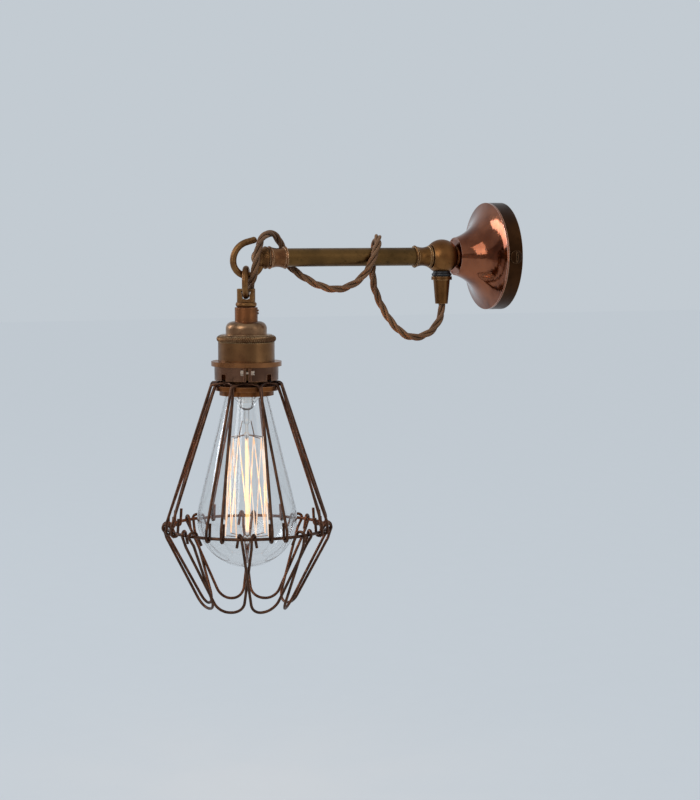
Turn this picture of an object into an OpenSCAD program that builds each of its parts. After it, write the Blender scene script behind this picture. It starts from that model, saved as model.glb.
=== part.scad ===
// Cage wall light: a wall rose with a ball elbow, a straight arm with a cast hook,
// a lampholder hung from a link, and an openable wire cage round a long lamp.
// The wall is the plane y = 0, the arm runs along -Y at z = 0, and up is +Z.

/* [Wall rose] */
// Outer diameter of the rose
rose_d = 70.4; // [60:0.1:90]
// Depth of the dark ring on the wall
rose_ring_h = 9.7; // [6:0.1:14]
// Sheet thickness of ring and cone
sheet_t = 1.2; // [0.8:0.1:2]
// Distance from the wall to the cone's neck face
neck_y = 33.0; // [25:0.1:45]
// Diameter of the cone's neck
neck_d = 24.8; // [20:0.1:32]
// Radius of the cone's hollow flare
flare_r = 31; // [28:0.5:60]
// Spacing of the two wall screw holes
screw_spacing = 46; // [36:1:50]
// Diameter of the wall screw holes
screw_hole_d = 4.6; // [3.5:0.1:6]
// Head diameter of the side screws
side_screw_d = 8.4; // [6:0.1:9]
// Distance from the wall to the side screws
side_screw_y = 4.9; // [4.3:0.1:5]
// Thickness of the plate on the wall
plate_t = 1.5; // [1:0.1:2]

/* [Elbow and arm] */
// Diameter of the ball elbow
ball_d = 22.4; // [18:0.1:28]
// Distance from the wall to the ball's centre
ball_y = 42.2; // [36:0.1:60]
// Diameter of the arm tube
arm_d = 11.8; // [9:0.1:14]
// Wall thickness of the arm tube
arm_wall = 1.2; // [0.8:0.1:2]
// Distance from the wall to the arm's free end
arm_end = 162.6; // [120:0.5:260]
// Length of each turned collar
collar_l = 12.3; // [9:0.1:18]
// Largest diameter of each turned collar
collar_d = 14.8; // [13:0.1:20]
// Length of the cord grip under the ball
grip_l = 17.3; // [12:0.1:24]

/* [Hook and link] */
// Wire diameter of the hook
hook_wire = 4.2; // [3.5:0.1:6]
// Bend radius of the hook's seat
hook_r = 9.4; // [8:0.1:12]
// Bend radius of the hook's back
hook_back_r = 12.4; // [10:0.1:16]
// Height of the hook's bend centre
hook_z = -2.0; // [-4:0.1:2]
// Wire diameter of the link
link_wire = 4.1; // [3:0.1:5]
// Radius of the link's centre line
link_r = 8.6; // [7:0.1:12]
// Turn of the link from the line that crosses the arm
link_turn = -22; // [-45:1:0]
// Running clearance between hook, link and loop
play = 0.3; // [0.2:0.05:0.5]

/* [Lampholder] */
// Distance from the wall to the lamp's axis
lamp_y = 177.1; // [140:0.1:280]
// Radius of the lampholder's body
holder_r = 18.0; // [16:0.1:22]
// Radius of the dome above it
dome_r = 13.1; // [11:0.1:16]
// Radius of the knurled ring
knurl_r = 18.8; // [17:0.1:23]
// Radius of the threaded sleeve at the top
sleeve_r = 7.3; // [6.5:0.1:9]
// Inner radius of the screw shell
shell_r = 13.35; // [13.3:0.05:13.6]
// Thread pitch of the shell and the lamp cap
pitch = 3.6; // [3.5:0.05:3.7]

/* [Cage] */
// Turn of the cage, with the clamp ears in front
cage_turn = -18; // [-45:1:45]
// Radius of the hoop at the widest place
hoop_r = 51.5; // [45:0.1:70]
// Height of that hoop
hoop_z = -172.4; // [-220:0.1:-150]
// Wire diameter of the hoop
hoop_wire = 2.0; // [1.6:0.1:3]
// Wire diameter of ribs and petals
rib_wire = 1.8; // [1.4:0.1:2.6]
// Half angle between the legs of one rib at the hoop
rib_half = 27.9; // [24:0.1:31]
// Half angle between the legs of one petal at the hoop
petal_half = 27.1; // [24:0.1:30]
// Height of the petals' ends
petal_z = -221.0; // [-260:0.1:-205]
// Radius on which the petals end
petal_r = 21.7; // [15:0.1:34]
// Inner radius of the petals' hooks round the hoop
petal_eye_r = 1.75; // [1.7:0.05:2.4]
// Outer radius of the clamp collar
collar_r = 20.4; // [19:0.1:24]
// Radius of the collar's flange
flange_r = 22.4; // [21:0.1:27]

/* [Lamp] */
// Largest radius of the glass
glass_r = 32; // [28:0.5:36]
// Height of the widest place
glass_z = -166; // [-180:0.5:-150]
// Thickness of the glass
glass_t = 1.0; // [0.6:0.1:1.5]
// Radius of the filament's cage at its lower end
filament_r = 14.2; // [8:0.1:18]
// Radius of the filament's cage at its upper end
filament_top_r = 11.3; // [8:0.1:18]
// Number of filament strands
strands = 14; // [8:1:20]

/* [Cable] */
// Diameter of the twisted cable
cable_d = 4.6; // [4:0.1:7]
// Diameter of one insulated core
core_d = 1.7; // [1.2:0.1:2.4]

/* [Hidden] */
$fn = 48;
e = 0.01;
rr = rose_d / 2;
br = ball_d / 2;
hr = hook_wire / 2;
lr = link_wire / 2;
wr = rib_wire / 2;
gr = hoop_wire / 2;
link_z = hook_z - hook_r + hr + play + lr - link_r;
eye_z = link_z - link_r;
rib_eye = gr + wr + 0.2;
petal_eye = petal_eye_r + wr;
brass = [0.55, 0.42, 0.22];
bronze = [0.36, 0.24, 0.15];
copper = [0.72, 0.36, 0.25];
darkwire = [0.27, 0.17, 0.12];

// ---- placing ----

module out(y) translate([0, -y, 0]) rotate([90, 0, 0]) children();
module at_lamp(turn) translate([0, -lamp_y, 0]) rotate([0, 0, turn]) children();
module tube(r1, r2, h) difference() {
  cylinder(r = r1, h = h);
  translate([0, 0, -1]) cylinder(r = r2, h = h + 2);
}

// ---- bent wire ----

joint_gap = 0.1;
knuckle_half = 0.25;
joint_swell = 0.04;
function unit(v) = v / norm(v);
function angle(u, v) = atan2(norm(cross(u, v)), u * v);
function tilt(v) = [0, atan2(norm([v[0], v[1]]), v[2]), atan2(v[1], v[0])];
module rod(p, q, r) {
  v = q - p;
  l = norm(v);
  if (l > 0.01)
    translate(p) rotate(tilt(v)) cylinder(h = l, r = r);
}
// The turn about the bend's own axis that brings its start to u.
function start_turn(u, n) = let (t = tilt(n))
  atan2(u * [-sin(t[2]), cos(t[2]), 0],
        u * [cos(t[1]) * cos(t[2]), cos(t[1]) * sin(t[2]), -sin(t[1])]);
function corner(a, b, c, r) = let (
    u = unit(a - b), v = unit(c - b), w = angle(u, v), t = r / tan(w / 2),
    m = b + unit(u + v) * r / sin(w / 2),
    x = unit(b + u * t - m))
  [b + u * t, b + v * t, m, unit(cross(x, b + v * t - m)), x, 180 - w, -u, v];
// A short sleeve, a hair thicker than the wire, where a bend starts or ends.
module knuckle(p, v, r) translate(p) rotate(tilt(v)) translate([0, 0, -knuckle_half])
  cylinder(h = 2 * knuckle_half, r = r + joint_swell);
// Straight lengths and bends, joined by the sleeves.
module wire(pts, rad, r) {
  last = len(pts) - 1;
  bends = [for (i = [1 : last - 1]) corner(pts[i - 1], pts[i], pts[i + 1], rad[i])];
  starts = [pts[0], for (b = bends) b[1]];
  ends = [for (b = bends) b[0], pts[last]];
  for (i = [0 : last - 1]) let (p = starts[i], q = ends[i], u = joint_gap * unit(q - p))
    rod(i == 0 ? p : p + u, i == last - 1 ? q : q - u, r);
  for (b = bends) {
    translate(b[2]) rotate(tilt(b[3])) rotate([0, 0, start_turn(b[4], b[3])])
      rotate_extrude(angle = b[5]) translate([norm(b[0] - b[2]), 0]) circle(r);
    knuckle(b[0], b[6], r);
    knuckle(b[1], b[7], r);
  }
}

// ---- soft tube ----

function spline(p, i, t) = let (
    n = len(p) - 1, a = p[max(i - 1, 0)], b = p[i], c = p[min(i + 1, n)], d = p[min(i + 2, n)])
  0.5 * (2 * b + t * (c - a) + t * t * (2 * a - 5 * b + 4 * c - d)
         + t * t * t * (3 * b - 3 * c + d - a));
function run(p, steps) = [
  for (i = [0 : len(p) - 2]) for (j = [0 : steps - 1]) spline(p, i, j / steps),
  p[len(p) - 1]];
function heading(q, i) = unit(q[min(i + 1, len(q) - 1)] - q[max(i - 1, 0)]);
function carry(q, i = 0, n = [0, 0, 0]) = i == len(q) ? [] :
  let (h = heading(q, i), m = i == 0 ? unit(cross(h, [0, 1, 0.1])) : unit(n - h * (n * h)))
  concat([m], carry(q, i + 1, m));
// The tube round the stretch of route q from its point a to its point b.
module soft_tube(q, a, b, r, k) {
  f = carry(q);
  n = b - a + 1;
  pts = [for (i = [a : b]) let (u = f[i], v = cross(heading(q, i), u))
    for (j = [0 : k - 1]) q[i] + r * (cos(j * 360 / k) * u + sin(j * 360 / k) * v)];
  sides = [for (i = [0 : n - 2]) for (j = [0 : k - 1])
    [i * k + j, (i + 1) * k + j, (i + 1) * k + (j + 1) % k, i * k + (j + 1) % k]];
  polyhedron(pts, concat([[for (j = [0 : k - 1]) j]], sides,
    [[for (j = [k - 1 : -1 : 0]) (n - 1) * k + j]]), convexity = 10);
}

// ---- wall rose ----

module back_plate() color([0.6, 0.6, 0.58]) out(0) difference() {
  union() {
    cylinder(r = rr - sheet_t - 5, h = plate_t);
    // two tabs that stand up inside the ring, for the side screws
    intersection() {
      for (s = [-1, 1]) {
        translate([s * (rr - sheet_t - 4.4) - 3.5, -5, 0]) cube([7, 10, plate_t]);
        translate([s * (rr - sheet_t - 0.9) - 0.75, -5, 0]) cube([1.5, 10, 7.4]);
      }
      cylinder(r = rr - sheet_t - 0.2, h = 20);
    }
  }
  for (s = [-1, 1])
    translate([0, s * screw_spacing / 2, -1]) cylinder(d = screw_hole_d, h = plate_t + 2);
  translate([0, 0, -1]) cylinder(r = 8, h = plate_t + 2);
  translate([-16, -12, -1]) cylinder(r = 1.6, h = plate_t + 2);
  translate([-rr, 0, side_screw_y]) rotate([0, 90, 0]) cylinder(r = 1.7, h = rose_d);
}
module rose_ring() color(bronze) out(0) difference() {
  union() {
    tube(rr, rr - sheet_t, rose_ring_h);
    translate([0, 0, rose_ring_h - sheet_t]) tube(rr, rr - 5, sheet_t);
  }
  translate([-rr - 1, 0, side_screw_y]) rotate([0, 90, 0]) cylinder(r = 2.1, h = rose_d + 2);
}
module rose_screws() color(bronze) for (s = [-1, 1])
  translate([s * (rr + 0.03), -side_screw_y, 0]) rotate([0, s * 90, 0]) difference() {
    union() {
      translate([0, 0, -4.2]) cylinder(r = 1.65, h = 4.3);
      intersection() {
        cylinder(d = side_screw_d, h = 2.2);
        translate([0, 0, -5.2]) sphere(r = 7.3);
      }
    }
    translate([-5, -0.45, 1.2]) cube([10, 0.9, 3]);
  }
// Profile of the flare: a hollow arc between rim and neck.
rim_y = rose_ring_h + sheet_t;
chord = [neck_d / 2 - rr, neck_y - rim_y];
half_chord = norm(chord) / 2;
rise = sqrt(flare_r * flare_r - half_chord * half_chord);
flare_c = [rr, rim_y] + chord / 2 + rise * unit([chord[1], -chord[0]]);
module flare(grow) difference() {
  square([rr, neck_y]);
  translate(flare_c) circle(r = flare_r + grow, $fn = 120);
}
module rose_cone() color(copper) out(0) rotate_extrude($fn = 96) difference() {
  union() {
    intersection() {
      translate([0, rose_ring_h]) square([rr, neck_y - rose_ring_h]);
      flare(0);
    }
  }
  intersection() {
    translate([0, -1]) square([rr - 1.6, neck_y - sheet_t + 1]);
    flare(sheet_t);
  }
  translate([0, -1]) square([5.05, 60]);
  polygon([[5, neck_y - 0.5], [neck_d / 2 - 1, neck_y - 0.5], [neck_d / 2 - 0.4, neck_y + 1],
    [5, neck_y + 1]]);
}
module neck_nipple() color(brass) out(neck_y - 9) tube(5, 3.6, 13.4);
module neck_nut() color(brass) out(neck_y - sheet_t - 3.6) difference() {
  cylinder(r = 8, h = 3.6, $fn = 6);
  translate([0, 0, -1]) cylinder(r = 5, h = 6);
}
module terminal_block() color([0.9, 0.88, 0.8]) difference() {
  translate([-13, -plate_t - 11, 9.5]) cube([26, 11, 10]);
  for (i = [-1, 0, 1]) {
    translate([i * 8.4, -8.5, 0]) cylinder(r = 1.6, h = 30);
    translate([i * 8.4, -8, 14.5]) rotate([90, 0, 0]) cylinder(r = 1.9, h = 10);
  }
}
module terminal_screws() color([0.75, 0.72, 0.6]) for (i = [-1, 0, 1])
  translate([i * 8.4, -10.15, 14.5]) rotate([90, 0, 0]) difference() {
    cylinder(r = 1.85, h = 1.6);
    translate([-2.5, -0.35, 0.9]) cube([5, 0.7, 1]);
  }
module earth_screw() color(brass) translate([-16, -plate_t, -12]) rotate([90, 0, 0])
  difference() {
    union() {
      cylinder(r = 3, h = 2);
      translate([0, 0, -plate_t]) cylinder(r = 1.55, h = plate_t + 0.1);
    }
    translate([-4, -0.5, 1.2]) cube([8, 1, 1]);
  }
// The cable's three cores, from the ball to the terminals and the earth screw.
module supply_cores() {
  color([0.45, 0.25, 0.12])
    wire([[1.3, -23.9, 0], [1.3, -19, 0], [8.4, -8.5, 2], [8.4, -8.5, 9.6]],
         [0, 3, 3], core_d / 2);
  color([0.15, 0.3, 0.6])
    wire([[-1.3, -23.9, 0.9], [-1.3, -18, 0.9], [0, -8.5, 4], [0, -8.5, 9.6]],
         [0, 3, 2], core_d / 2);
  color([0.4, 0.6, 0.2])
    wire([[-1.0, -23.9, -1.6], [-1.0, -16, -1.6], [-16, -9, -12], [-16, -3.6, -12]],
         [0, 3, 2.5], core_d / 2);
}

// ---- ball, grip and arm ----

module ball_elbow() color(brass) translate([0, -ball_y, 0]) difference() {
  union() {
    intersection() {
      sphere(r = br, $fn = 96);
      translate([-20, -7.8, -9.6]) cube([40, 7.8 + ball_y - neck_y + 0.5, 40]);
    }
    rotate([-90, 0, 0]) cylinder(r = 6.6, h = ball_y - neck_y + 0.5);
  }
  rotate([-90, 0, 0]) translate([0, 0, 4.8]) cylinder(r = 5.02, h = 20);
  rotate([-90, 0, 0]) cylinder(r = 3.6, h = 20);
  translate([0, 0, -20]) cylinder(r = 3.2, h = 20);
  sphere(r = 3.6);
  translate([0, 0, -20]) cylinder(r = 4.6, h = 14);
  rotate([90, 0, 0]) translate([0, 0, 4.4]) cylinder(r = 2.52, h = 10);
}
module grip_washer() color([0.08, 0.08, 0.08]) translate([0, -ball_y, -13.1])
  rotate_extrude() difference() {
    union() {
      square([5.6, 3.5]);
      translate([5.5, 1.25]) circle(r = 1.1);
      translate([4.9, 2.5]) circle(r = 0.9);
    }
    translate([-1, -1]) square([5.6, 6]);
  }
module cord_grip() color(brass) translate([0, -ball_y, -13.1]) difference() {
  union() {
    translate([0, 0, -2.2]) cylinder(r = 6.8, h = 2.2);
    translate([0, 0, -grip_l - 0.6]) cylinder(r1 = 4.15, r2 = 5.5, h = grip_l - 1.6);
    cylinder(r = 4.55, h = 6.5);
  }
  translate([0, 0, -40]) cylinder(r = cable_d / 2 + 0.05, h = 60);
}
module arm_stud() color([0.6, 0.6, 0.58]) out(ball_y + 4.6) cylinder(r = 2.5, h = 12.4);
// A collar with a bead at its foot, a hollow waist and a lip at the arm.
module spool() rotate_extrude() difference() {
  union() {
    square([collar_d / 2 - 0.9, collar_l]);
    translate([collar_d / 2 - 1, 1.2]) circle(r = 1);
    translate([collar_d / 2 - 0.9, collar_l - 1]) circle(r = 0.9);
  }
  translate([collar_d / 2 + 9.2, collar_l / 2 + 0.2]) circle(r = 10.6, $fn = 96);
  translate([0, collar_l - 3]) square([arm_d / 2 + 0.05, 9]);
  translate([-1, -1]) square([3.55, 20]);
}
module rear_collar() color(brass) out(ball_y + 7.8) spool();
module arm_tube() color([0.42, 0.36, 0.2]) out(ball_y + 7.8 + collar_l - 2.9)
  tube(arm_d / 2, arm_d / 2 - arm_wall, arm_end - ball_y - 7.8 - 2 * collar_l + 5.8);
module front_collar() color(brass) translate([0, -arm_end, 0]) rotate([-90, 0, 0]) spool();

// ---- hook ----

hook_c = [-(lamp_y - 0.9), hook_z];
back_c = [hook_c[0] + hook_back_r - hook_r, hook_z];
module hook_arc(c, r, a0, a1) translate([0, c[0], c[1]]) rotate([90, 0, 90])
  rotate([0, 0, a0]) rotate_extrude(angle = a1 - a0) translate([r, 0]) circle(hr);
tip = [back_c[0] + hook_back_r * cos(105), back_c[1] + hook_back_r * sin(105)];
tip_end = tip + 4.6 * [sin(105), -cos(105)];
module hook() color(brass) union() {
  out(arm_end - 6.2) cylinder(r = 2.5, h = 6.4);
  out(arm_end) cylinder(r = 5.6, h = 0.8);
  out(arm_end) rotate_extrude() union() {
    translate([0, 0.6]) square([6.4, 2.2]);
    translate([6.2, 1.7]) circle(r = 1.1);
  }
  out(arm_end + 2.6) cylinder(r1 = 6.9, r2 = 5.6, h = 2.6);
  translate([0, -(arm_end + 5.2), 0]) intersection() {
    sphere(r = 5.6);
    translate([-9, -18, -9]) cube([18, 18, 18]);
  }
  hook_arc(hook_c, hook_r, -180, 12);
  hook_arc(back_c, hook_back_r, 105, 180);
  knuckle([0, hook_c[0] - hook_r, hook_c[1]], [0, 0, 1], hr);
  knuckle([0, tip[0], tip[1]], [0, sin(105), -cos(105)], hr);
  translate([0, tip_end[0], tip_end[1]]) sphere(r = hr + joint_swell);
  rod([0, tip[0], tip[1]] + joint_gap * [0, sin(105), -cos(105)],
      [0, tip_end[0], tip_end[1]], hr);
}

// ---- cable ----

run_route = [[0, -42.2, -28.2], [0, -42.2, -33], [0.2, -43.2, -40], [0, -49, -48.5],
  [0, -58, -52.6], [-0.5, -67, -51.5], [-2.5, -75.5, -44], [-5.5, -82, -33],
  [-8.5, -86.4, -20], [-9, -87.6, -8], [-8.6, -87.4, 2], [-5, -87, 9.5], [0.5, -87.6, 12.6],
  [6, -89.6, 9], [8.9, -93.2, 1.5], [8, -96.8, -7], [5, -101.5, -14], [2.8, -109, -19],
  [1.8, -118, -20.6], [0.2, -128, -18], [-3.4, -137, -12.8], [-8.4, -144, -6.5],
  [-10.4, -148, 1.5], [-8.6, -151, 8.5], [-4.6, -155.5, 13.4], [0.5, -161.5, 15.2],
  [5.5, -167, 13.6]];
drop_route = [[9, -171.2, 8], [9.6, -173.2, 0], [8, -173.6, -6], [5.2, -174, -12],
  [2.6, -174.4, -16], [1.2, -174.55, -18.6], [1.05, -174.55, -21.2]];
route_steps = 3;
route = run(concat(run_route, drop_route), route_steps);
hook_point = route_steps * len(run_route);
module cable_run() color([0.42, 0.28, 0.2])
  soft_tube(route, 0, hook_point, cable_d / 2, 10);
module cable_drop() color([0.42, 0.28, 0.2])
  soft_tube(route, hook_point, len(route) - 1, cable_d / 2, 10);

// ---- link and loop ----

module ring(r, w) rotate_extrude($fn = 96) translate([r, 0]) circle(w);
module link() color(brass) at_lamp(link_turn) translate([0, 0, link_z]) rotate([90, 0, 0])
  ring(link_r, lr);
module loop_nut() color(brass) at_lamp(link_turn) difference() {
  union() {
    translate([0, 0, -29]) linear_extrude(9.4) intersection() {
      square([7, 11.4], center = true);
      circle(r = 6.1);
    }
    translate([0, 0, -31.4]) rotate_extrude() union() {
      translate([0, 0.15]) square([5.3, 3.35]);
      translate([4.95, 1.8]) circle(r = 1.8);
    }
    translate([0, 0, -37.5]) cylinder(r = 4.8, h = 6.5);
  }
  // the link's way through, with its swing to both sides
  intersection() {
    translate([0, 0, link_z]) rotate([90, 0, 0]) translate([0, 0, -8])
      tube(link_r + lr + play, link_r - lr - play, 16);
    translate([-9, 0, eye_z]) rotate([90, 0, 90]) linear_extrude(18)
      polygon([[-lr - play, -4], [lr + play, -4], [lr + play, 0], [lr + play + 1.4, 5.4],
        [-lr - play - 1.4, 5.4], [-lr - play, 0]]);
  }
  translate([-9, 0, eye_z]) rotate([0, 90, 0]) cylinder(r = lr + play, h = 18);
  // the hole that the cable goes into, and the cores' way on down
  translate([0, 2.75, -24]) cylinder(r = cable_d / 2 + 0.2, h = 6);
  translate([-3, 2, -29.5]) cube([6, 2.8, 8.1]);
  translate([-3, 0.8, -30]) cube([6, 4, 3]);
  translate([0, 0, -40]) cylinder(r = 3.4, h = 11.4);
}

// ---- lampholder ----

module sleeve() color(copper) at_lamp(cage_turn) translate([0, 0, -40.4]) difference() {
  union() {
    cylinder(r = sleeve_r, h = 9);
    translate([0, 0, -1.4]) cylinder(r = 6.2, h = 2);
  }
  translate([0, 0, -2]) cylinder(r = 4.85, h = 20);
  translate([0, 0, 6.1]) rotate([-90, 0, 0]) cylinder(r = 1.55, h = 10);
}
module grub_screw() color(bronze) at_lamp(cage_turn) translate([0, 4.9, -34.3])
  rotate([-90, 0, 0]) difference() {
    cylinder(r = 1.5, h = sleeve_r - 4.9 + 0.7);
    translate([-2, -0.3, sleeve_r - 4.9]) cube([4, 0.6, 1]);
  }
module dome_profile(t) {
  square([dome_r - 4.4 - t, 8.9 - t]);
  square([dome_r - t, 4.4]);
  translate([dome_r - 4.4, 4.5]) circle(r = 4.4 - t);
}
module holder_cap() color(bronze) at_lamp(cage_turn) translate([0, 0, -49.3]) difference() {
  union() {
    rotate_extrude() intersection() {
      dome_profile(0);
      square([20, 20]);
    }
    translate([0, 0, -3.9]) cylinder(r = holder_r - 1.5, h = 4.5);
  }
  translate([0, 0, -4]) rotate_extrude() intersection() {
    union() {
      square([dome_r - 1.4, 8]);
      translate([0, 4]) dome_profile(1.4);
    }
    square([20, 20]);
  }
  cylinder(r = 6.25, h = 20);
}
module knurled_ring() color(bronze) at_lamp(cage_turn) translate([0, 0, -53.5])
  difference() {
    rotate_extrude($fn = 96) difference() {
      union() {
        square([knurl_r - 1.6, 4.3]);
        translate([knurl_r - 2.1, 2.15]) circle(r = 2.1);
      }
      translate([0, -1]) square([holder_r - 0.4, 8]);
    }
    for (i = [0 : 47]) rotate([0, 0, i * 7.5]) translate([knurl_r + 0.18, 0, -1])
      cylinder(r = 0.5, h = 8, $fn = 4);
  }
module holder_body() color(bronze) at_lamp(cage_turn) rotate_extrude($fn = 96)
  polygon([[holder_r - 1.45, -49.4], [holder_r - 0.45, -49.4], [holder_r - 0.45, -53.5],
    [holder_r, -53.5], [holder_r, -76.6], [15.2, -78], [15.2, -86.8], [14.5, -86.8],
    [14.5, -77.2], [holder_r - 1.4, -75.8], [holder_r - 1.4, -61.2], [15.4, -61.2],
    [15.4, -60], [holder_r - 1.45, -60]]);
module lamp_insulator() color([0.93, 0.91, 0.86]) at_lamp(cage_turn)
  translate([0, 0, -58.4]) difference() {
    union() {
      cylinder(r = 11.2, h = 8.4);
      translate([0, 0, -1.6]) cylinder(r = holder_r - 1.6, h = 6.7);
    }
    for (s = [-1, 1]) translate([s * 7.5, 0, 3]) cylinder(r = 2.6, h = 10);
    translate([0, 7.5, 3]) cylinder(r = 1.6, h = 10);
    translate([0, 0, -3]) cylinder(r = 1.5, h = 7);
  }
module thread(r, depth, z0, n) for (i = [0 : n - 1])
  translate([r, z0 - i * pitch]) circle(r = depth);
module screw_shell() color(brass) at_lamp(cage_turn) rotate_extrude($fn = 96)
  difference() {
    union() {
      translate([13, -84.5]) square([1.1, 24.5]);
      translate([4, -61]) square([10.1, 1]);
    }
    translate([0, -84.6]) square([shell_r, 23.6]);
  }
module centre_contact() color(brass) at_lamp(cage_turn) union() {
  translate([0, 0, -61.1]) cylinder(r = 2.2, h = 1.1);
  translate([0, 0, -60.2]) cylinder(r = 1.4, h = 5);
}
module lamp_terminals() color([0.75, 0.72, 0.6]) at_lamp(cage_turn) for (s = [-1, 1])
  translate([s * 7.5, 0, -55.4]) difference() {
    cylinder(r = 2.5, h = 4.5);
    translate([-3, -0.35, 3.6]) cube([6, 0.7, 2]);
  }
// The same cores inside the lampholder, from the cable's end to the terminals.
module lamp_leads() at_lamp(link_turn) {
  t = cage_turn - link_turn;
  for (s = [-1, 1]) color(s > 0 ? [0.45, 0.25, 0.12] : [0.15, 0.3, 0.6])
    wire([[s * 2, 3.7, -21.3], [s * 2, 3.7, -27], polar(s * 1.3, t, -31),
          polar(s * 1.3, t, -42.5), polar(s * 7.5, t, -46.5), polar(s * 7.5, t, -50.8)],
         [0, 2.5, 2.5, 2.5, 2.5], core_d / 2);
  color([0.4, 0.6, 0.2])
    wire([[0, 3.7, -21.3], [0, 3.7, -27], polar(2.2, t + 90, -31), polar(2.2, t + 90, -42),
          polar(7.5, t + 90, -46), polar(7.5, t + 90, -55.2)],
         [0, 2.5, 2.5, 2.5, 2.5], core_d / 2);
}

// ---- cage ----

flange_z = -81;
module cage_collar() color(bronze) at_lamp(cage_turn) difference() {
  union() {
    translate([0, 0, -68.5]) tube(flange_r, holder_r + 0.05, 2.9);
    translate([0, 0, -77.3]) tube(collar_r, holder_r + 0.05, 8.9);
    for (s = [-1, 1]) translate([collar_r - 1.2, s * 1.6 + 0.6 - 0.85, -77.1])
      cube([5.4, 1.7, 8.4]);
  }
  translate([15, -0.15, -78]) cube([12, 1.5, 9.4]);
  for (i = [1 : 7]) rotate([0, 0, i * 45]) translate([15, -1.9, -78]) cube([12, 3.8, 4.9]);
  translate([collar_r + 2.2, -6, -71.6]) rotate([-90, 0, 0]) cylinder(r = 0.95, h = 14);
}
module clamp_screw() color([0.62, 0.52, 0.4]) at_lamp(cage_turn)
  translate([collar_r + 2.2, -3.6, -71.6]) rotate([-90, 0, 0]) difference() {
    union() {
      cylinder(r = 0.9, h = 7);
      translate([0, 0, 6.65]) cylinder(r = 1.6, h = 2);
    }
    translate([-2, -0.25, 8]) cube([4, 0.5, 1]);
  }
module clamp_nut() color([0.62, 0.52, 0.4]) at_lamp(cage_turn)
  translate([collar_r + 2.2, -3.45, -71.6]) rotate([-90, 0, 0]) difference() {
    cylinder(r = 1.9, h = 1.55, $fn = 6);
    translate([0, 0, -1]) cylinder(r = 0.92, h = 4);
  }
module shade_ring() color(copper) at_lamp(cage_turn) rotate_extrude($fn = 96)
  difference() {
    union() {
      translate([15.25, flange_z - 2.9]) square([5.35, 2.9]);
      translate([15.25, -87.2]) square([2.05, 5]);
    }
    translate([19.2, flange_z - 2.9]) circle(r = 0.5);
  }
module cage_seat() color(darkwire) at_lamp(cage_turn) translate([0, 0, flange_z + wr])
  ring(16.2, wr);
module cage_hoop() color(darkwire) at_lamp(cage_turn) translate([0, 0, hoop_z])
  ring(hoop_r, gr);

function polar(r, a, z) = [r * cos(a), r * sin(a), z];
// Radius at which neighbouring ribs cross, and each rib's step in or out there
rib_top_r = 22.6;
rib_shift = 1.45;
// One rib, from its tail inside the hoop over the seat and back; s = 1 or -1 is the side.
function rib_side(s) = [
  polar(hoop_r - rib_eye - 0.8, s * rib_half, hoop_z + 9),
  polar(hoop_r - rib_eye, s * rib_half, hoop_z - rib_eye),
  polar(hoop_r + rib_eye, s * rib_half, hoop_z - rib_eye),
  polar(hoop_r + rib_eye - 0.3, s * (rib_half - 0.1), hoop_z + 5),
  polar(rib_top_r - s * rib_shift, s * 22.5, flange_z + 0.95)];
rib_rad = [0, rib_eye * 0.8, rib_eye * 0.8, 6, 2.2];
module rib(i) color(darkwire) at_lamp(cage_turn + 45 * i) {
  a = rib_side(1);
  b = rib_side(-1);
  wire(concat(a, [[16.4, 0, flange_z + 3 * wr]], [b[4], b[3], b[2], b[1], b[0]]),
       concat(rib_rad, [9], [2.2, 6, rib_rad[2], rib_rad[1], 0]), wr);
}
module cage_rib_1() rib(0);
module cage_rib_2() rib(1);
module cage_rib_3() rib(2);
module cage_rib_4() rib(3);
module cage_rib_5() rib(4);
module cage_rib_6() rib(5);
module cage_rib_7() rib(6);
module cage_rib_8() rib(7);

// One petal: its plane slopes in from the line through its two hooks on the hoop.
px = hoop_r * cos(petal_half);
py = hoop_r * sin(petal_half);
slope = [petal_r - px, petal_z - hoop_z];
lean = atan2(slope[0], -slope[1]) + asin(petal_eye / norm(slope));
down = [sin(lean), 0, -cos(lean)];
side = [cos(lean), 0, sin(lean)];
reach = sqrt(norm(slope) * norm(slope) - petal_eye * petal_eye);
// Half width of the petal's end, and each leg's step in or out of the petal's plane
toe = 7.9;
petal_shift = 1.15;
// A point at distance d down the leg, o outside the leg's plane, on side s.
function leg(s, d, o) = [px, 0, hoop_z] + side * (petal_eye + o) + down * d
  + [0, s * (py - (py - toe) * d / reach), 0];
function petal_side(s) = [
  [px, s * py, hoop_z] - side * petal_eye + down * 7.5,
  [px, s * py, hoop_z] - side * petal_eye - down * petal_eye,
  [px, s * py, hoop_z] + side * petal_eye - down * petal_eye,
  leg(s, 0, 0) - [0, s * 0.2, 0],
  leg(s, 6, -s * petal_shift),
  leg(s, reach, -s * petal_shift)];
module petal(i) color(darkwire) at_lamp(cage_turn + 22.5 + 45 * (i - 1)) {
  a = petal_side(1);
  b = petal_side(-1);
  bend = petal_eye * 0.85;
  wire(concat(a, [b[5], b[4], b[3], b[2], b[1], b[0]]),
       [0, bend, bend, 4, 6, 10, 10, 6, 4, bend, bend, 0], wr);
}
module petal_1() petal(1);
module petal_2() petal(2);
module petal_3() petal(3);
module petal_4() petal(4);
module petal_5() petal(5);
module petal_6() petal(6);
module petal_7() petal(7);
module petal_8() petal(8);

// ---- lamp ----

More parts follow.
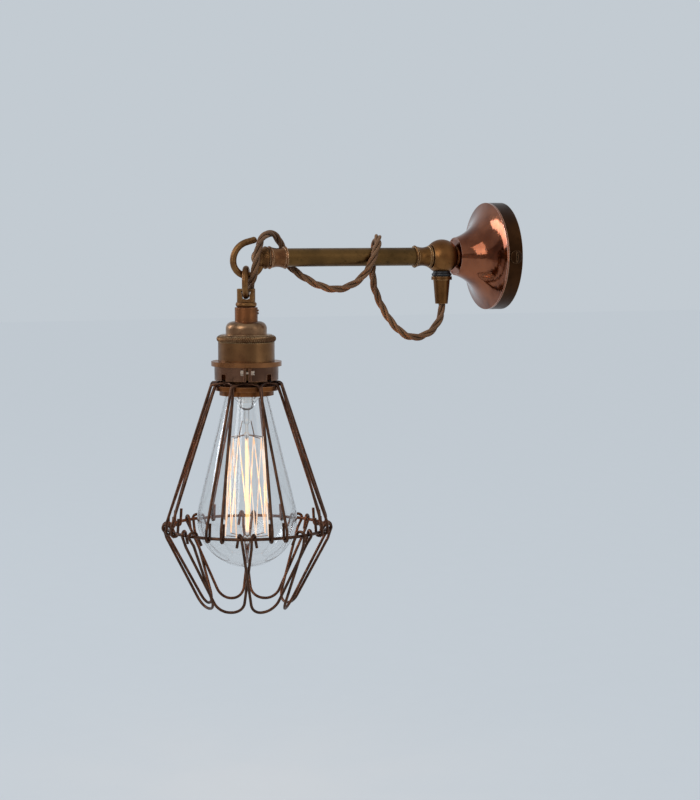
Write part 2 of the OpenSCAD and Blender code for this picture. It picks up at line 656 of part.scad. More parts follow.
// The glass: a short neck, a cone that meets the round end, and a small tip.
neck = [14.6, -89];
far = norm([neck[0], neck[1] - glass_z]);
touch = atan2(neck[0], neck[1] - glass_z) + acos(glass_r / far);
meet = [glass_r * sin(touch), glass_z + glass_r * cos(touch)];
function glass_line(t) = concat(
  [[0, -84.2 + (t > 0 ? 9 : 0)], [13 - t, -84.2 + (t > 0 ? 9 : 0)], [13.1 - t, -86.2]],
  [[13.7 - t, -87.6]],
  [for (a = [touch : 6 : 176])
    [(glass_r - t) * sin(a), glass_z + (glass_r - t) * cos(a)]],
  [[0, glass_z - glass_r + t]]);
module lamp_glass() color([0.85, 0.88, 0.9, 0.35]) at_lamp(cage_turn) difference() {
  union() {
    rotate_extrude($fn = 96) polygon(glass_line(0));
    translate([0, 0, glass_z - glass_r - 1.2]) cylinder(r1 = 1.2, r2 = 3.4, h = 2);
  }
  rotate_extrude($fn = 96) polygon(glass_line(glass_t));
}
module lamp_cap() color([0.78, 0.7, 0.5]) at_lamp(cage_turn) rotate_extrude($fn = 96)
  difference() {
    union() {
      translate([0, -84.1]) square([12.6, 21]);
      thread(11.9, 1.25, -66, 5);
      translate([0, -84.1]) square([13.1, 1.6]);
      polygon([[0, -63.2], [12, -63.2], [6, -62.2], [0, -62.2]]);
    }
    translate([-20, -84.2]) square([20 + 11.6, 20.2]);
    translate([-20, -70]) square([20 + 4.4, 10]);
  }
module lamp_contact() color([0.2, 0.2, 0.2]) at_lamp(cage_turn) union() {
  translate([0, 0, -63.8]) cylinder(r = 4.35, h = 1.7);
  translate([0, 0, -62.1]) cylinder(r1 = 4.2, r2 = 3.0, h = 0.8);
}
module lamp_stem() color([0.85, 0.88, 0.9, 0.5]) at_lamp(cage_turn) union() {
  translate([0, 0, -92]) difference() {
    cylinder(r1 = 5.4, r2 = 12.05, h = 6.4);
    translate([0, 0, 1.2]) cylinder(r1 = 4.4, r2 = 11.2, h = 6.4);
  }
  translate([0, 0, -92]) sphere(r = 5.4);
  translate([0, 0, -104]) cylinder(r = 2.0, h = 10);
  translate([0, 0, -183]) cylinder(r = 1.1, h = 84);
  translate([0, 0, -104]) sphere(r = 2.4);
  translate([0, 0, -113]) sphere(r = 2.0);
  translate([0, 0, -179]) sphere(r = 2.0);
}
module filament_frame() color([0.6, 0.5, 0.4]) at_lamp(cage_turn) {
  for (i = [0 : strands / 2 - 1]) rotate([0, 0, i * 720 / strands]) {
    rod([2.06, 0, -113], [filament_top_r - 0.6, 0, -114.5], 0.3);
    rotate([0, 0, 360 / strands]) rod([2.06, 0, -179], [filament_r - 0.6, 0, -177.5], 0.3);
  }
  // the two lead wires, down to a hook on each side
  for (i = [2, 5]) rotate([0, 0, i * 720 / strands])
    rod([2.85, 0.4, -104], [5, 0.35, -113.6], 0.35);
}
// One wire that runs down and up again, a strand for each hook of the frame.
function filament_end(i) = polar(i % 2 == 0 ? filament_top_r : filament_r,
  (i + (i % 2 == 0 ? 0.12 : -0.12)) * 360 / strands, i % 2 == 0 ? -114.5 : -177.5);
module filament() color([1, 0.75, 0.35]) at_lamp(cage_turn)
  for (i = [0 : strands - 1]) let (p = filament_end(i), q = filament_end(i + 1)) {
    translate(p) sphere(r = 0.42);
    if (i < strands - 1) rod(p + joint_gap * unit(q - p), q - joint_gap * unit(q - p), 0.35);
  }

back_plate();
rose_ring();
rose_screws();
rose_cone();
neck_nipple();
neck_nut();
terminal_block();
terminal_screws();
earth_screw();
supply_cores();
ball_elbow();
grip_washer();
cord_grip();
arm_stud();
rear_collar();
arm_tube();
front_collar();
hook();
cable_run();
cable_drop();
link();
loop_nut();
sleeve();
grub_screw();
holder_cap();
knurled_ring();
holder_body();
lamp_insulator();
screw_shell();
centre_contact();
lamp_terminals();
lamp_leads();
cage_collar();
clamp_screw();
clamp_nut();
shade_ring();
cage_seat();
cage_hoop();
cage_rib_1();
cage_rib_2();
cage_rib_3();
cage_rib_4();
cage_rib_5();
cage_rib_6();
cage_rib_7();
cage_rib_8();
petal_1();
petal_2();
petal_3();
petal_4();
petal_5();
petal_6();
petal_7();
petal_8();
lamp_glass();
lamp_cap();
lamp_contact();
lamp_stem();
filament_frame();
filament();
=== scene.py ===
# %% [markdown]
# # A cage wall light in antique brass
# The real thing is turned brass, spun copper, bent wire, blown glass and a twisted cloth
# flex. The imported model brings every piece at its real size. This lesson gives each one its
# finish, spins the bulb and the rope edge in finer steps, winds the flex from three covered
# cores and lights the lamp. Everything is in metres, z is up and the rose's back is y = 0.

# %% Load the frame
import math

import bpy
import bmesh
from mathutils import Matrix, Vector


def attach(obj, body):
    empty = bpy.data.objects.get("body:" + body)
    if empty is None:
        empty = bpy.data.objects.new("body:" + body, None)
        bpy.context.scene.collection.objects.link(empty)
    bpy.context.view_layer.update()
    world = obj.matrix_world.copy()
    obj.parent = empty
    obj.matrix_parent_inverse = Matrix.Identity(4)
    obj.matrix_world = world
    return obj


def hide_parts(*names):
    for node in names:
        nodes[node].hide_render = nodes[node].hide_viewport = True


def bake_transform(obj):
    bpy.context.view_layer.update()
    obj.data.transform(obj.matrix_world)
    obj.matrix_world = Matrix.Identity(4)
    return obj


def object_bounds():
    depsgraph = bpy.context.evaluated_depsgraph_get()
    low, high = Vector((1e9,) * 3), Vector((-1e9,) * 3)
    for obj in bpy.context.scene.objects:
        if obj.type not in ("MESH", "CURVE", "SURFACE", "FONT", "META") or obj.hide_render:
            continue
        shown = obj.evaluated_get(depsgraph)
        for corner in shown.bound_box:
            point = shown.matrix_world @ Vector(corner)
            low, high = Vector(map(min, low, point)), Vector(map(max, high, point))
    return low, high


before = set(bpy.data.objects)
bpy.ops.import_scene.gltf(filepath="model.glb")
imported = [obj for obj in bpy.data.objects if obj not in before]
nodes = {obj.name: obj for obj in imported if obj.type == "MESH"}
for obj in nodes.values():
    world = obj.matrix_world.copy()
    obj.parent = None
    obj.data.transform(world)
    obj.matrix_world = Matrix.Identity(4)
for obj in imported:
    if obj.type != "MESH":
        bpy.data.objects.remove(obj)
cad_low, cad_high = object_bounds()
MM = 0.001

# %% [markdown]
# ## The camera
# The photograph was taken with a long lens, level with the arm and a little from above,
# so the rose shows its face and the arm hardly shortens. The place was worked out from
# the ellipses of rose, flanges and hoop. It could be set by eye at the end; here it comes
# first.

# %% The camera
view_azimuth = math.radians(69.38)
view_pitch = math.radians(-5.14)
camera_place = (1.2129, -0.5630, 0.0238)
lens_mm = 90
sensor_mm = 36
farthest_seen = 20
camera_data = bpy.data.cameras.new("photo_camera")
camera_data.lens = lens_mm
camera_data.sensor_width = sensor_mm
camera_data.clip_end = farthest_seen
camera = bpy.data.objects.new("photo_camera", camera_data)
bpy.context.collection.objects.link(camera)
camera.location = camera_place
aim = Vector((-math.sin(view_azimuth), math.cos(view_azimuth), math.tan(view_pitch)))
camera.rotation_mode = "QUATERNION"
camera.rotation_quaternion = aim.to_track_quat("-Z", "Y")
bpy.context.scene.camera = camera
print("camera looks along", [round(x, 3) for x in aim.normalized()])

# %% [markdown]
# ## Places on the lamp
# The lampholder and its cage hang on one upright axis. The axis could be measured from a
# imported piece, but it is one number of the source, so it is written once here. Pieces that
# are made here stand on it, with the source's radii and heights, and meet what carries them.

# %% Places
lamp_axis = Vector((0, -0.1771, 0))
print("lamp axis at", tuple(lamp_axis))


# %% [markdown]
# ## Shared effects
# Old metal never has one colour. Three effects return in every finish, so each is a node
# group that is built once: clouds of tarnish with fine specks, wear that brightens edges,
# and the fine rings that a lathe tool leaves. Each material could hold its own copy of these
# nodes, but then every change would be made twenty times. A group gives only masks and
# heights, and each material mixes its own colours with them.

# %% A new group
def new_group(name, inputs, outputs):
    """A shader node group with number sockets; gives back it, its input and its output."""
    group = bpy.data.node_groups.new(name, "ShaderNodeTree")
    for socket, value in inputs.items():
        made = group.interface.new_socket(socket, in_out="INPUT", socket_type="NodeSocketFloat")
        made.default_value = value
    for socket in outputs:
        group.interface.new_socket(socket, in_out="OUTPUT", socket_type="NodeSocketFloat")
    return group, group.nodes.new("NodeGroupInput"), group.nodes.new("NodeGroupOutput")


print("helper: new_group")


# %% Node helpers
def math_node(tree, operation, first, second=None, clamp=False):
    """A Math node whose inputs are sockets or numbers; gives back its output socket."""
    node = tree.nodes.new("ShaderNodeMath")
    node.operation = operation
    node.use_clamp = clamp
    for place, value in ((0, first), (1, second)):
        if value is None:
            continue
        if isinstance(value, (int, float)):
            node.inputs[place].default_value = value
        else:
            tree.links.new(value, node.inputs[place])
    return node.outputs[0]


def ramp(tree, value, low, high):
    """Stretches a value so that low becomes 0 and high becomes 1, smoothly."""
    node = tree.nodes.new("ShaderNodeMapRange")
    node.interpolation_type = "SMOOTHSTEP"
    node.inputs["From Min"].default_value = low
    node.inputs["From Max"].default_value = high
    tree.links.new(value, node.inputs["Value"])
    return node.outputs["Result"]


def noise(tree, where, scale, detail=4.0, rough=0.55):
    """A noise texture over the socket where; gives back its Fac output."""
    node = tree.nodes.new("ShaderNodeTexNoise")
    node.inputs["Detail"].default_value = detail
    node.inputs["Roughness"].default_value = rough
    if isinstance(scale, (int, float)):
        node.inputs["Scale"].default_value = scale
    else:
        tree.links.new(scale, node.inputs["Scale"])
    tree.links.new(where, node.inputs["Vector"])
    return node.outputs["Fac"]


print("helpers: math_node, ramp, noise")

# %% Tarnish
cloud_span = (0.34, 0.68)
speck_span = (0.55, 0.75)
cloud_share = 0.4


def make_tarnish():
    """Clouds, finer specks and a height of both, for stained and pitted surfaces."""
    group, given, result = new_group(
        "tarnish", {"Cloud Scale": 40.0, "Speck Scale": 900.0}, ["Clouds", "Specks", "Height"])
    place = group.nodes.new("ShaderNodeTexCoord").outputs["Object"]
    clouds = ramp(group, noise(group, place, given.outputs["Cloud Scale"], 5.0), *cloud_span)
    specks = noise(group, place, given.outputs["Speck Scale"], 2.0)
    group.links.new(clouds, result.inputs["Clouds"])
    group.links.new(ramp(group, specks, *speck_span), result.inputs["Specks"])
    both = math_node(group, "ADD", math_node(group, "MULTIPLY", clouds, cloud_share),
                     math_node(group, "MULTIPLY", specks, 1 - cloud_share))
    group.links.new(both, result.inputs["Height"])
    return group


tarnish = make_tarnish()
print("group:", tarnish.name)

# %% [markdown]
# ## Worn edges and pits
# Handling rubs the tarnish off the edges first. Pointiness could find the edges, but it
# depends on the mesh, and this model's long thin triangles upset it. The Bevel node looks
# at the shape instead: near an edge its rounded normal leaves the true one, and the gap
# between the two is the mask. Noise breaks the wear up, and the noise's low spots are pits.

# %% Edge wear
edge_reach = 0.5 * MM
edge_samples = 6
pit_level = 0.42
pit_gain = 3.0


def make_edge_wear():
    """Edge is one where an edge is rubbed bright, Pits where small hollows stay dark."""
    group, given, result = new_group(
        "edge_wear", {"Start": 0.02, "Full": 0.12, "Break Up": 300.0}, ["Edge", "Pits"])
    place = group.nodes.new("ShaderNodeTexCoord").outputs["Object"]
    rounded = group.nodes.new("ShaderNodeBevel")
    rounded.samples = edge_samples
    rounded.inputs["Radius"].default_value = edge_reach
    turn = group.nodes.new("ShaderNodeVectorMath")
    turn.operation = "DOT_PRODUCT"
    group.links.new(rounded.outputs["Normal"], turn.inputs[0])
    group.links.new(group.nodes.new("ShaderNodeNewGeometry").outputs["Normal"], turn.inputs[1])
    turned = math_node(group, "SUBTRACT", 1.0, turn.outputs["Value"])
    rubbed = noise(group, place, given.outputs["Break Up"], 3.0)
    patchy = math_node(group, "MULTIPLY", turned, math_node(group, "MULTIPLY", rubbed, 2.0))
    span = math_node(group, "SUBTRACT", given.outputs["Full"], given.outputs["Start"])
    past = math_node(group, "SUBTRACT", patchy, given.outputs["Start"])
    group.links.new(math_node(group, "DIVIDE", past, span, clamp=True), result.inputs["Edge"])
    below = math_node(group, "SUBTRACT", pit_level, rubbed)
    group.links.new(math_node(group, "MULTIPLY", below, pit_gain, clamp=True), result.inputs["Pits"])
    return group


edge_wear = make_edge_wear()
print("group:", edge_wear.name)


# %% Tool lines
def make_tool_lines():
    """Noise stretched into fine lines; the larger of the three numbers runs across them."""
    group, given, result = new_group(
        "tool_lines", {"Along X": 60.0, "Along Y": 60.0, "Along Z": 3000.0}, ["Lines"])
    place = group.nodes.new("ShaderNodeTexCoord").outputs["Object"]
    joined = group.nodes.new("ShaderNodeCombineXYZ")
    for axis, socket in zip("XYZ", joined.inputs):
        group.links.new(given.outputs["Along " + axis], socket)
    stretched = group.nodes.new("ShaderNodeVectorMath")
    stretched.operation = "MULTIPLY"
    group.links.new(place, stretched.inputs[0])
    group.links.new(joined.outputs[0], stretched.inputs[1])
    group.links.new(noise(group, stretched.outputs[0], 1.0, 3.0, 0.7), result.inputs["Lines"])
    return group


tool_lines = make_tool_lines()
print("group:", tool_lines.name)


# %% [markdown]
# ## Metal finishes
# A finish has a body colour, a darker colour where tarnish gathers, and a brighter colour
# on rubbed edges. One brass for all would be less work, but ball, arm, hook and holder aged
# apart, and it shows. So one function places the shared effects, mixes the three colours
# with them and feeds roughness and bump, and each finish is one call of it with its own
# values.

# %% Inside a material
def placed(tree, group, **values):
    """Places a group in a material with its own values; gives back the group's node."""
    node = tree.nodes.new("ShaderNodeGroup")
    node.node_tree = group
    for name, value in values.items():
        node.inputs[name.replace("_", " ").title()].default_value = value
    return node


def mixed(tree, mask, first, second):
    """Mixes two colours by a mask. Each colour is an (r, g, b) or a socket."""
    node = tree.nodes.new("ShaderNodeMix")
    node.data_type = "RGBA"
    tree.links.new(mask, node.inputs["Factor"])
    for socket, value in ((node.inputs[6], first), (node.inputs[7], second)):
        if isinstance(value, tuple):
            socket.default_value = (*value, 1.0)
        else:
            tree.links.new(value, socket)
    return node.outputs[2]


def blank(name):
    """A node material with only its Principled shader; gives back it, its tree and shader."""
    material = bpy.data.materials.new(name)
    material.use_nodes = True
    return material, material.node_tree, material.node_tree.nodes["Principled BSDF"]


def bumped(tree, shader, height, distance):
    """Lets a height from 0 to 1 raise the surface by distance, in metres."""
    bump = tree.nodes.new("ShaderNodeBump")
    bump.inputs["Strength"].default_value = 1.0
    bump.inputs["Distance"].default_value = distance
    tree.links.new(height, bump.inputs["Height"])
    tree.links.new(bump.outputs["Normal"], shader.inputs["Normal"])


print("helpers: placed, mixed, blank, bumped")

# %% A metal
specks_per_cloud = 18
pit_shade = 0.45
cloud_haze = 0.16
line_haze = 0.6 * cloud_haze
line_share = 0.5


def metal(name, body, dark, bright, rough, lines, cloud,
          edge=(0.02, 0.14), bump=0.02 * MM, metallic=1.0):
    """A tarnished metal: body, dark and bright are colours, rough its lowest roughness."""
    material, tree, shader = blank(name)
    clouds = placed(tree, tarnish, cloud_scale=cloud, speck_scale=cloud * specks_per_cloud)
    wear = placed(tree, edge_wear, start=edge[0], full=edge[1])
    tool = placed(tree, tool_lines, along_x=lines[0], along_y=lines[1], along_z=lines[2])
    tinted = mixed(tree, clouds.outputs["Clouds"], body, dark)
    pitted = mixed(tree, wear.outputs["Pits"], tinted, tuple(pit_shade * c for c in dark))
    rubbed = mixed(tree, wear.outputs["Edge"], pitted, bright)
    tree.links.new(rubbed, shader.inputs["Base Color"])
    shader.inputs["Metallic"].default_value = metallic
    spread = math_node(tree, "ADD",
                       math_node(tree, "MULTIPLY", clouds.outputs["Clouds"], cloud_haze),
                       math_node(tree, "MULTIPLY", tool.outputs["Lines"], line_haze))
    tree.links.new(math_node(tree, "ADD", spread, rough), shader.inputs["Roughness"])
    height = math_node(tree, "ADD",
                       math_node(tree, "MULTIPLY", tool.outputs["Lines"], line_share),
                       math_node(tree, "MULTIPLY", clouds.outputs["Height"], 1 - line_share))
    bumped(tree, shader, height, bump)
    return material


print("a metal mixes:", tarnish.name, edge_wear.name, tool_lines.name)

# %% Brass and bronze finishes
turned_y = (40, 2600, 40)
turned_z = (40, 40, 2600)
finishes = {
    "ball_brass": metal("ball_brass", (0.250, 0.110, 0.035), (0.167, 0.066, 0.020),
                        (0.62, 0.40, 0.19), 0.27, (300, 300, 300), 60, bump=0.01 * MM),
    "collar_brass": metal("collar_brass", (0.184, 0.080, 0.023), (0.092, 0.036, 0.011),
                          (0.72, 0.47, 0.24), 0.25, turned_y, 90, edge=(0.005, 0.06)),
    "arm_brass": metal("arm_brass", (0.165, 0.084, 0.027), (0.100, 0.053, 0.018),
                       (0.34, 0.23, 0.11), 0.28, (1200, 25, 1200), 50),
    "hook_brass": metal("hook_brass", (0.266, 0.130, 0.046), (0.142, 0.062, 0.023),
                        (0.50, 0.31, 0.15), 0.30, (500, 500, 500), 120, bump=0.04 * MM),
    "grip_brass": metal("grip_brass", (0.172, 0.075, 0.024), (0.106, 0.044, 0.014),
                        (0.52, 0.31, 0.15), 0.27, turned_z, 70),
    "red_collar": metal("red_collar", (0.245, 0.105, 0.041), (0.116, 0.043, 0.018),
                        (0.78, 0.47, 0.26), 0.25, turned_y, 90, edge=(0.005, 0.06)),
    "sleeve_copper": metal("sleeve_copper", (0.280, 0.105, 0.039), (0.140, 0.055, 0.022),
                           (0.58, 0.27, 0.15), 0.28, turned_z, 80),
    "dome_bronze": metal("dome_bronze", (0.335, 0.188, 0.096), (0.155, 0.079, 0.041),
                         (0.62, 0.42, 0.23), 0.22, turned_z, 70),
    "knurl_brass": metal("knurl_brass", (0.221, 0.113, 0.049), (0.116, 0.052, 0.024),
                         (0.58, 0.42, 0.23), 0.25, turned_z, 90),
    "body_bronze": metal("body_bronze", (0.240, 0.118, 0.047), (0.137, 0.062, 0.026),
                         (0.46, 0.26, 0.12), 0.22, turned_z, 55),
    "collar_bronze": metal("collar_bronze", (0.205, 0.103, 0.061), (0.097, 0.048, 0.030),
                           (0.42, 0.20, 0.11), 0.22, turned_z, 60),
    "flange_copper": metal("flange_copper", (0.270, 0.098, 0.029), (0.140, 0.050, 0.017),
                           (0.58, 0.27, 0.13), 0.26, turned_z, 60),
    "ring_bronze": metal("ring_bronze", (0.064, 0.025, 0.009), (0.033, 0.013, 0.005),
                         (0.36, 0.20, 0.10), 0.30, turned_y, 40),
    "screw_metal": metal("screw_metal", (0.55, 0.42, 0.32), (0.34, 0.24, 0.17),
                         (0.80, 0.68, 0.56), 0.24, (300, 300, 300), 200),
    "plate_zinc": metal("plate_zinc", (0.52, 0.51, 0.48), (0.40, 0.39, 0.36),
                        (0.70, 0.70, 0.66), 0.38, (90, 90, 90), 60),
    "shell_brass": metal("shell_brass", (0.66, 0.50, 0.24), (0.50, 0.36, 0.16),
                         (0.85, 0.70, 0.42), 0.26, turned_z, 80),
    "wire_brown": metal("wire_brown", (0.115, 0.050, 0.026), (0.055, 0.024, 0.013),
                        (0.30, 0.15, 0.08), 0.27, (200, 200, 200), 160,
                        bump=0.03 * MM, metallic=0.85),
    "support_wire": metal("support_wire", (0.36, 0.24, 0.18), (0.20, 0.12, 0.09),
                          (0.6, 0.45, 0.35), 0.35, (300, 300, 300), 300),
}
print("metal finishes:", len(finishes))

# %% [markdown]
# ## The collar's two tones
# The cage collar is one turned piece, but its flange was rubbed back to copper while its
# band stayed dark. It could be cut in two, with a finish for each half. One material that
# splits at a height keeps the piece whole.

# %% The collar's two tones
flange_foot = -68.55 * MM
tone_scale = 140.0


def second_tone(material, low, colour, dark):
    """Gives the part of a finish that lies above the height low its own colours."""
    tree = material.node_tree
    place = tree.nodes.new("ShaderNodeTexCoord").outputs["Object"]
    split = tree.nodes.new("ShaderNodeSeparateXYZ")
    tree.links.new(place, split.inputs[0])
    above = math_node(tree, "GREATER_THAN", split.outputs["Z"], low)
    shader = tree.nodes["Principled BSDF"]
    first = shader.inputs["Base Color"].links[0].from_socket
    second = mixed(tree, noise(tree, place, tone_scale, 3.0), dark, colour)
    tree.links.new(mixed(tree, above, first, second), shader.inputs["Base Color"])


second_tone(finishes["collar_bronze"], flange_foot, (0.38, 0.165, 0.062), (0.17, 0.070, 0.030))
print("the collar's flange is copper above mm:", round(flange_foot / MM, 2))


# %% [markdown]
# ## Polished copper
# The rose's flare is spun from sheet, polished and lacquered, so it mirrors the room. The
# metal function above would leave it too dull, so it has its own: its roughness stays low,
# and only a faint haze and the spinner's rings break the reflection. A thin coat stands for
# the lacquer.

# %% Polished copper
least_rough = 0.09
haze_share = 0.10
ring_share = 0.15
ripple = 0.12 * MM


def polished_copper():
    """Copper with a low roughness, faint haze, the spinner's rings and a lacquer coat."""
    material, tree, shader = blank("polished_copper")
    clouds = placed(tree, tarnish, cloud_scale=48.0, speck_scale=700.0)
    wear = placed(tree, edge_wear, start=0.03, full=0.2)
    rings = placed(tree, tool_lines, along_x=30, along_y=900, along_z=30)
    tinted = mixed(tree, clouds.outputs["Clouds"], (0.31, 0.100, 0.043), (0.135, 0.034, 0.012))
    tree.links.new(mixed(tree, wear.outputs["Edge"], tinted, (0.85, 0.55, 0.44)),
                   shader.inputs["Base Color"])
    shader.inputs["Metallic"].default_value = 1.0
    haze = math_node(tree, "MULTIPLY", clouds.outputs["Specks"], haze_share)
    tree.links.new(math_node(tree, "ADD", haze, least_rough), shader.inputs["Roughness"])
    height = math_node(tree, "ADD", math_node(tree, "MULTIPLY", rings.outputs["Lines"], ring_share),
                       clouds.outputs["Clouds"])
    bumped(tree, shader, height, ripple)
    shader.inputs["Coat Weight"].default_value = 0.3
    shader.inputs["Coat Roughness"].default_value = 0.05
    return material


finishes["polished_copper"] = polished_copper()
print("copper ready")


# %% [markdown]
# ## Rubber, porcelain and plastic
# The washer under the ball is black moulded rubber. Inside sit a glazed porcelain block
# and a moulded terminal strip, which show only when the light is taken apart. A flat colour
# would do for them, but a grain costs one line each, so they get their own.

# %% Rubber, porcelain and plastic
specks_in_mould = 12
mould_haze = 0.2


def moulded(name, colour, other, rough, cloud, bump, coat):
    """A non-metal with two close colours, a grain and, where it is glazed, a coat."""
    material, tree, shader = blank(name)
    clouds = placed(tree, tarnish, cloud_scale=cloud, speck_scale=cloud * specks_in_mould)
    tree.links.new(mixed(tree, clouds.outputs["Clouds"], colour, other), shader.inputs["Base Color"])
    haze = math_node(tree, "MULTIPLY", clouds.outputs["Height"], mould_haze)
    tree.links.new(math_node(tree, "ADD", haze, rough), shader.inputs["Roughness"])
    bumped(tree, shader, clouds.outputs["Height"], bump)
    shader.inputs["Coat Weight"].default_value = coat
    return material


# each: two colours, lowest roughness, scale of the clouds, bump, coat
moulded_stuff = {
    "black_rubber": ((0.012, 0.012, 0.013), (0.022, 0.022, 0.024), 0.30, 200, 0.02 * MM, 0.0),
    "porcelain": ((0.82, 0.79, 0.72), (0.76, 0.72, 0.64), 0.12, 80, 0.01 * MM, 0.5),
    "terminal_plastic": ((0.78, 0.76, 0.68), (0.70, 0.68, 0.60), 0.32, 90, 0.02 * MM, 0.0),
    "core_sheath": ((0.20, 0.10, 0.04), (0.14, 0.07, 0.03), 0.35, 120, 0.01 * MM, 0.0),
    "contact_black": ((0.02, 0.02, 0.022), (0.05, 0.05, 0.05), 0.10, 90, 0.01 * MM, 0.4),
}
for name, values in moulded_stuff.items():
    finishes[name] = moulded(name, *values)
print("finishes:", len(finishes))


# %% [markdown]
# ## Glass
# The bulb is blown clear glass, 0.9 mm thick, and both its walls bend the light. One skin
# with a thin glass shader would render faster, but it would have no dark edges. So the glass
# is solid, and its volume takes away a little light, which adds up only where the view runs
# along the wall. A trace of unevenness makes the reflections waver.

# %% Glass
glass_ior = 1.47
glass_grey = (0.42, 0.43, 0.43, 1)


def clear_glass(name, tint, wave, grey=0.0):
    """Clear glass whose surface waves by a height; grey is how much its volume takes."""
    material, tree, shader = blank(name)
    clouds = placed(tree, tarnish, cloud_scale=18.0, speck_scale=60.0)
    paler = tuple(min(1, c * 1.02) for c in tint)
    tree.links.new(mixed(tree, clouds.outputs["Clouds"], tint, paler), shader.inputs["Base Color"])
    shader.inputs["Transmission Weight"].default_value = 1.0
    shader.inputs["IOR"].default_value = glass_ior
    shader.inputs["Roughness"].default_value = 0.0
    bumped(tree, shader, clouds.outputs["Clouds"], wave)
    if grey:
        body = tree.nodes.new("ShaderNodeVolumeAbsorption")
        body.inputs["Color"].default_value = glass_grey
        body.inputs["Density"].default_value = grey
        tree.links.new(body.outputs["Volume"], tree.nodes["Material Output"].inputs["Volume"])
    return material


finishes["bulb_glass"] = clear_glass("bulb_glass", (0.985, 0.988, 0.985), 0.01 * MM, grey=95.0)
finishes["stem_glass"] = clear_glass("stem_glass", (0.95, 0.94, 0.92), 0.1 * MM)
print("glass finishes:", finishes["bulb_glass"].name, finishes["stem_glass"].name)

# %% [markdown]
# ## Amber in the stem
# The glass rod that carries the filament catches its light. A renderer could trace that
# light, but through so much glass it comes out grainy. So the rod gives off a little amber
# itself where the strands hang, and fades out at both ends.

# %% Amber in the stem
fade = 4 * MM
lit_from, lit_to = -177 * MM, -114 * MM


def lit_rod(material, low, high, colour, strength):
    """Amber light caught in the glass rod between two heights, where the filament hangs."""
    tree = material.node_tree
    split = tree.nodes.new("ShaderNodeSeparateXYZ")
    tree.links.new(tree.nodes.new("ShaderNodeTexCoord").outputs["Object"], split.inputs[0])
    inside = math_node(tree, "MULTIPLY", ramp(tree, split.outputs["Z"], low, low + fade),
                       ramp(tree, split.outputs["Z"], high, high - fade))
    shader = tree.nodes["Principled BSDF"]
    tree.links.new(mixed(tree, inside, (0.0, 0.0, 0.0), colour), shader.inputs["Emission Color"])
    shader.inputs["Emission Strength"].default_value = strength


lit_rod(finishes["stem_glass"], lit_from, lit_to, (1.0, 0.55, 0.16), 0.55)
print("the stem is lit over mm:", round((lit_to - lit_from) / MM))


# %% [markdown]
# ## The glowing filament
# Carbonised thread glows cream to amber. It could be made strong enough to light the cage by
# itself, but then every strand would burn out to white. So its strength stays near one, where
# a colour shows as it is written, and a small warm light inside the bulb gives the orange on
# the inner sides of the wires.

# %% Filament
def glowing(name, hot, cool, strength):
    """A thread that glows in two colours, with a dark surface where it is cold."""
    material, tree, shader = blank(name)
    clouds = placed(tree, tarnish, cloud_scale=160.0, speck_scale=900.0)
    glow = mixed(tree, clouds.outputs["Clouds"], hot, cool)
    tree.links.new(glow, shader.inputs["Emission Color"])
    tree.links.new(mixed(tree, clouds.outputs["Clouds"], (0.02, 0.012, 0.006), (0.05, 0.03, 0.015)),
                   shader.inputs["Base Color"])
    shader.inputs["Emission Strength"].default_value = strength
    shader.inputs["Roughness"].default_value = 0.6
    return material


finishes["filament_glow"] = glowing("filament_glow", (1.0, 0.84, 0.70), (1.0, 0.60, 0.34), 1.05)
print("filament ready")

# %% [markdown]
# ## Which piece has which finish
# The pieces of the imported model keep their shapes. A piece could be given its finish where
# the finish is made, but one list by name is easier to read and to check: it prints which
# nodes were forgotten, and nothing is left plain.

# %% Give the finishes
finish_of = {
    "plate_zinc": ["back_plate", "arm_stud"],
    "ring_bronze": ["rose_ring", "rose_screws"],
    "polished_copper": ["rose_cone"],
    "ball_brass": ["ball_elbow"],
    "shell_brass": ["neck_nipple", "neck_nut", "earth_screw", "centre_contact", "lamp_terminals",
                    "terminal_screws", "screw_shell", "lamp_cap"],
    "grip_brass": ["cord_grip"],
    "collar_brass": ["rear_collar"],
    "red_collar": ["front_collar"],
    "arm_brass": ["arm_tube"],
    "hook_brass": ["hook", "link", "loop_nut"],
    "sleeve_copper": ["sleeve"],
    "dome_bronze": ["holder_cap"],
    "knurl_brass": ["knurled_ring"],
    "body_bronze": ["holder_body"],
    "collar_bronze": ["cage_collar", "grub_screw"],
    "flange_copper": ["shade_ring"],
    "screw_metal": ["clamp_screw", "clamp_nut"],
    "wire_brown": ["cage_seat", "cage_hoop", *[f"cage_rib_{i}" for i in range(1, 9)],
                   *[f"petal_{i}" for i in range(1, 9)]],
    "black_rubber": ["grip_washer"],
    "terminal_plastic": ["terminal_block"],
    "core_sheath": ["supply_cores", "lamp_leads"],
    "porcelain": ["lamp_insulator"],
    "contact_black": ["lamp_contact"],
    "bulb_glass": ["lamp_glass"],
    "stem_glass": ["lamp_stem"],
    "support_wire": ["filament_frame"],
    "filament_glow": ["filament"],
}
left = set(nodes) - {"cable_run", "cable_drop"}
for finish, names in finish_of.items():
    for name in names:
        piece = nodes[name]
        piece.data.materials.clear()
        piece.data.materials.append(finishes[finish])
        left.discard(name)
print("nodes without a finish:", sorted(left))


# %% [markdown]
# ## Blown glass and the rope edge
# Smooth shading would hide a facet on metal, but light that bends twice in glass shows every
# one. So the bulb is spun again here in many small steps, with an outer and an inner skin.
# The ring under the dome has slanted rope ridges, pressed in by a wheel. A bump could draw
# them, but not their outline, so its profile is spun too, and its radius rises and falls
# along a slant.

# %% From mesh to piece
same_point = 0.001 * MM


